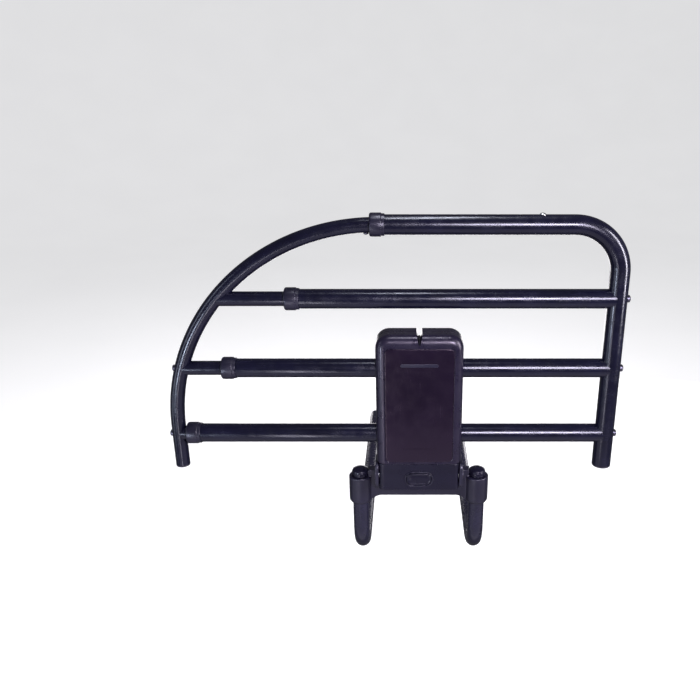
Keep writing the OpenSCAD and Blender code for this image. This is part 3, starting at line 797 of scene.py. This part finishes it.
def housing_shell(name, node, start, end, fillet, recess, extra_tools=()):
    made = mesh_object(name, loft(shell_rings(start, end, fillet, recess)), 40)
    inside = mesh_object("inside", hollow(start, end, max(fillet - SHELL, 2 * MM)))
    reach = 40 * MM
    cut(inside, prism(notch_outline(SHELL), start - reach, start + reach))
    subtract(made, [inside], 40)
    tubes = []
    for z in RAIL_Z[2:]:
        line = straight((-HALF_W - 5 * MM, RAIL_Y, z), (HALF_W + 5 * MM, RAIL_Y, z), 0.5)
        tubes.append(pipe(line, OUTER_R + 0.25 * MM, count=96))
    cut(made, *tubes, prism(notch_outline(0), start - reach, start + reach), *extra_tools, sharp=40)
    piece(made, "rail", "gloss_shell", node, slot="satin_plastic")


def housing():
    gap = 0.03 * MM
    housing_shell("front_shell", "housing_front", RAIL_Y - gap, FRONT_Y, 12 * MM, True)
    sockets = []
    for x in (-SCREW_X, SCREW_X):
        for z in screw_heights():
            rim = [(0, -3.05), (4, -3.05), (4, -0.5), (4.6, 0.1), (4.6, 2), (0, 2)]
            sockets.append(lathe(rim, Vector((x, BACK_Y, z)), Y, 40))
    housing_shell("rear_shell", "housing_rear", RAIL_Y + gap, BACK_Y, 6 * MM, False, sockets)


def panel_face(x, z):
    """How far the crowned face of the panel stands in front of the shell."""
    u, v = x / (50 * MM), (z - PANEL_MID) / (90 * MM)
    return (0.7 + 0.45 * (1 - u * u) + 0.3 * (1 - v * v)) * MM


def front_panel():
    """Crowned gloss panel with a fine groove near its foot."""
    low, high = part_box("front_panel")
    w = high.x

    def ring(inset, y=None, sunk=0.0):
        corners = [(-w + inset, low.z + inset), (-w + inset, high.z - inset),
                   (w - inset, high.z - inset), (w - inset, low.z + inset)]
        points = rounded(corners, [max(7.8 * MM - inset, 1.5 * MM)] * 4, 8, 12)
        return [Vector((p.x, FRONT_Y - panel_face(p.x, p.y) + sunk if y is None else y, p.y))
                for p in points]

    rings = [ring(0.4 * MM, FRONT_Y + 1.3 * MM), ring(0, FRONT_Y + 0.9 * MM), ring(0, FRONT_Y)]
    for k in range(1, 6):
        turn = math.radians(18 * k)
        rings.append(ring(0.9 * MM * (1 - math.cos(turn)), sunk=0.75 * MM * (1 - math.sin(turn))))
    rings += [ring(inset * MM) for inset in (3, 6, 10, 15, 20, 26, 32, 38, 44, 48)]
    made = mesh_object("gloss_front", loft(rings), 50)
    groove = FOOT_Z + 27 * MM
    slit = rounded([(-25 * MM, groove - 0.55 * MM), (25 * MM, groove - 0.55 * MM),
                    (25 * MM, groove + 0.55 * MM), (-25 * MM, groove + 0.55 * MM)], [0.5 * MM] * 4, 4)
    cut(made, prism(slit, FRONT_Y - 3 * MM, FRONT_Y - 0.7 * MM), sharp=50)
    piece(made, "rail", "gloss_panel", "front_panel")


def panel_bar():
    """The raised bar near the top of the panel."""
    bar_z = FOOT_Z + 159 * MM
    rings = []
    for inset, depth in ((0, 1.0), (0, -0.1), (0.1, -0.3), (0.35, -0.42), (0.9, -0.45), (2.0, -0.48)):
        a, b = (27 - inset) * MM, (2.5 - inset) * MM
        corners = [(-a, bar_z - b), (a, bar_z - b), (a, bar_z + b), (-a, bar_z + b)]
        points = rounded(corners, [max(b * 0.92, 0.1 * MM)] * 4, 6, 10)
        rings.append([Vector((p.x, FRONT_Y - panel_face(p.x, p.y) + depth * MM, p.y))
                      for p in points])
    piece(mesh_object("panel_bar", loft(rings), 50), "rail", "satin_plastic")


# ---- Castings whose form is the CAD solid's, with every edge softened ----

def softened(name, node, body, material, voxel, rounds, slot=None):
    """A copy of a CAD solid with its edges worn round, as a moulding has them."""
    made = bpy.data.objects.new(name, frame["nodes"][node].data.copy())
    bpy.context.scene.collection.objects.link(made)
    change = made.modifiers.new("skin", "REMESH")
    change.mode = "VOXEL"
    change.voxel_size = voxel
    change.use_smooth_shade = True
    change = made.modifiers.new("wear", "SMOOTH")
    change.factor = 0.5
    change.iterations = rounds
    settle(made, 180)
    return piece(made, body, material, node, slot=slot)


def mouldings():
    softened("bracket", "leg_bracket", "base", "satin_plastic", 0.75 * MM, 4)
    softened("hinge_block", "pivot_block", "rail", "dark_plastic", 0.7 * MM, 3, "satin_plastic")
    softened("buffers", "stop_bumpers", "base", "buffer_rubber", 0.25 * MM, 3)


def oval_ring(y, grow):
    """The release button's outline at one depth."""
    a, b = (19 + grow) * MM, (10 + grow) * MM
    low, high = BUTTON_Z - b, BUTTON_Z + b
    corners = [(-a, low), (-a, high), (a, high), (a, low)]
    points = rounded(corners, [min(9.5 * MM + grow * MM, b * 0.98)] * 4, 12, 6)
    return [Vector((p.x, y, p.y)) for p in points]


def release_button():
    """Oval button with a soft rim, a shallow dish and a raised pad, on its flange."""
    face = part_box("release_button")[0].y
    back = PIN.y - 4 * MM
    rings = [oval_ring(back, -0.3), oval_ring(back - 0.4 * MM, 0), oval_ring(face + 3 * MM, 0)]
    for k in range(0, 7):
        turn = math.radians(15 * k)
        rings.append(oval_ring(face + 1.2 * MM * (1 - math.sin(turn)), -1.2 * (1 - math.cos(turn))))
    for grow, depth in ((-1.9, 0.05), (-2.6, 0.35), (-3.3, 0.75), (-4.2, 0.85), (-5.0, 0.72), (-6.0, 0.5),
                        (-7.5, 0.42), (-9.0, 0.4)):
        rings.append(oval_ring(face + depth * MM, grow))
    flange = [oval_ring(PIN.y - depth * MM, grow) for depth, grow in
              ((5.0, 2.2), (4.7, 2.5), (3.9, 2.5), (3.6, 2.2))]
    made = mesh_object("oval_button", joined([loft(rings), loft(flange)]), 50)
    piece(made, "button", "dark_plastic", "release_button", slot="satin_plastic")


def button_stem():
    """The stem that reaches back to the latch's cross pin, which runs in its slot."""
    reach = 13 * MM * math.sqrt(0.5)
    pin = Vector((PIN.y + reach, PIN.z - reach))
    end = pin + 5 * MM * Vector((-1 - math.sqrt(0.5), math.sqrt(0.5)))
    outline = [(PIN.y - 3.5 * MM, PIN.z - 12.2 * MM)] + arc_points(pin, 3.6 * MM, -123.3, 90, 20)
    outline += [(pin.x, PIN.z - 3.2 * MM), (PIN.y - 3.5 * MM, PIN.z - 3.2 * MM)]
    way = math.degrees(math.atan2(end.y - pin.y, end.x - pin.x))
    slit = (arc_points(pin, 1.35 * MM, way - 270, way - 90, 10)
            + arc_points(end, 1.35 * MM, way - 90, way + 90, 10))
    stem = mesh_object("button_stem", prism(outline, -2.4 * MM, 2.4 * MM, X), 30)
    piece(cut(stem, prism(slit, -3 * MM, 3 * MM, X), sharp=30), "button", "inner_plastic")


def button_rim():
    """The raised rim round the release button."""
    ring = []
    front = FRONT_Y - 0.9 * MM
    for depth, grow in ((1.85, 2.35), (0.5, 2.4), (0.22, 2.3), (0.06, 2.05), (0, 1.8), (0, 1.5), (0.08, 1.15),
                        (0.3, 0.95), (0.6, 0.85), (1.85, 0.85)):
        ring.append(oval_ring(front + depth * MM, grow))
    rim = mesh_object("button_rim", loft(ring, around=True), 50)
    piece(rim, "rail", "satin_plastic", "button_bezel")


# ---- CAD nodes that keep their shape ----

def finish_cad_nodes():
    slots = {part["node"]: part["material_slot"] for part in frame["record"]["subparts"]}
    for name, node in frame["nodes"].items():
        if node.hide_render:
            continue
        node.data.materials.clear()
        node.data.materials.append(MATERIALS[slots[name]])


# ---- Stage ----

FLOOR_Z = 2 * PIN.z - POST_HIGH.z - 12 * MM


def tent():
    """Pale floor that sweeps up to a dome all round. Reflections and shadows leave it out."""
    flat, curve = 4000, 3000
    dome = flat + curve
    bend = [(flat + x, curve + z) for x, z in arc_points((0, 0), curve, -90, 0, 24)]
    roof = arc_points((0, curve), dome, 3, 90, 24)[:-1]
    profile = [(0, 0), (1500, 0), (3000, 0)] + bend + roof + [(0, curve + dome)]
    sweep = lathe(profile, Vector((0, 0, FLOOR_Z)), Z, 96)
    floor = mesh_object("floor", sweep, 180)
    s = Shader("pale_floor", Roughness=0.85, Specular_IOR_Level=0.2, Emission_Strength=0.80)
    pale = s.blend(s.spread(s.noise(3, 3), 0, 1), (0.815, 0.815, 0.825, 1), (0.83, 0.83, 0.84, 1))
    s.link(s.blend(pale, (0.40, 0.40, 0.405, 1), (0.44, 0.44, 0.445, 1)), "Base Color")
    s.link(pale, "Emission Color")
    floor.data.materials.append(s.material)
    floor.visible_diffuse = floor.visible_glossy = floor.visible_shadow = False


def sky():
    world = bpy.data.worlds.new("studio")
    bpy.context.scene.world = world
    world.use_nodes = True
    light = world.node_tree.nodes["Background"]
    light.inputs["Color"].default_value = (0.95, 0.95, 1.0, 1)
    light.inputs["Strength"].default_value = 0.14
    bpy.context.scene.view_settings.view_transform = "Standard"


def lamps():
    """Soft studio lamps, each a name, place, size in metres, power, colour and spread."""
    target = Vector((-0.02, RAIL_Y, 0.32))
    white, cool, violet = (1.0, 0.97, 1.0), (0.80, 0.90, 1.0), (0.95, 0.90, 1.0)
    for name, place, size, power, colour, spread in (
            ("overhead", (0.05, -0.05, 2.1), (0.75, 0.14), 16, (0.92, 0.96, 1.0), 180),
            ("key", (0.35, -1.12, 0.75), (0.46, 0.28), 5.8, violet, 80),
            ("bounce", (0.05, -0.50, FLOOR_Z + 0.02), (1.7, 0.9), 3.4, violet, 180),
            ("strip_near", (-0.30, -0.76, -0.02), (0.07, 0.36), 1.2, white, 180),
            ("kicker", (-0.69, -0.77, 0.12), (0.10, 0.24), 4.6, cool, 180),
            ("strip_left", (-1.15, -0.40, 0.36), (0.14, 1.1), 3.5, cool, 180),
            ("strip_right", (1.15, -0.50, 0.60), (0.16, 0.95), 26, white, 180),
            ("back_low", (0.15, 1.45, FLOOR_Z + 0.17), (1.6, 0.28), 7, white, 180),
            ("back_fill", (-0.30, 1.20, 1.60), (1.2, 0.8), 30, white, 180)):
        lamp = bpy.data.lights.new(name, "AREA")
        lamp.shape = "RECTANGLE"
        lamp.size, lamp.size_y = size
        lamp.energy = power
        lamp.color = colour
        lamp.spread = math.radians(spread)
        made = bpy.data.objects.new(name, lamp)
        bpy.context.scene.collection.objects.link(made)
        made.location = place
        made.visible_camera = False
        made.visible_glossy = name != "back_fill"
        made.rotation_mode = "QUATERNION"
        facing = Z if name == "bounce" else target - Vector(place)
        made.rotation_quaternion = facing.to_track_quat("-Z", "Y")


def photo_camera():
    lens = bpy.data.cameras.new("camera")
    lens.lens = 37.44
    lens.sensor_width = 36
    lens.shift_x = -0.0843
    lens.clip_start, lens.clip_end = 0.05, 60
    camera = bpy.data.objects.new("camera", lens)
    bpy.context.scene.collection.objects.link(camera)
    camera.location = (-0.015, RAIL_Y - 0.9927, TOP_Z + 0.1791)
    camera.rotation_euler = (math.radians(90 - 20), 0, 0)
    bpy.context.scene.camera = camera


tent()
sky()
lamps()
photo_camera()
main_tube()
fixed_rails()
arc_tube()
sliding_rails()
legs()
collars()
end_plugs()
leg_caps()
fasteners()
pivot_pins()
stop_screw()
snap_button()
coil_springs()
leaf_spring()
housing()
front_panel()
panel_bar()
mouldings()
release_button()
button_stem()
button_rim()
finish_cad_nodes()
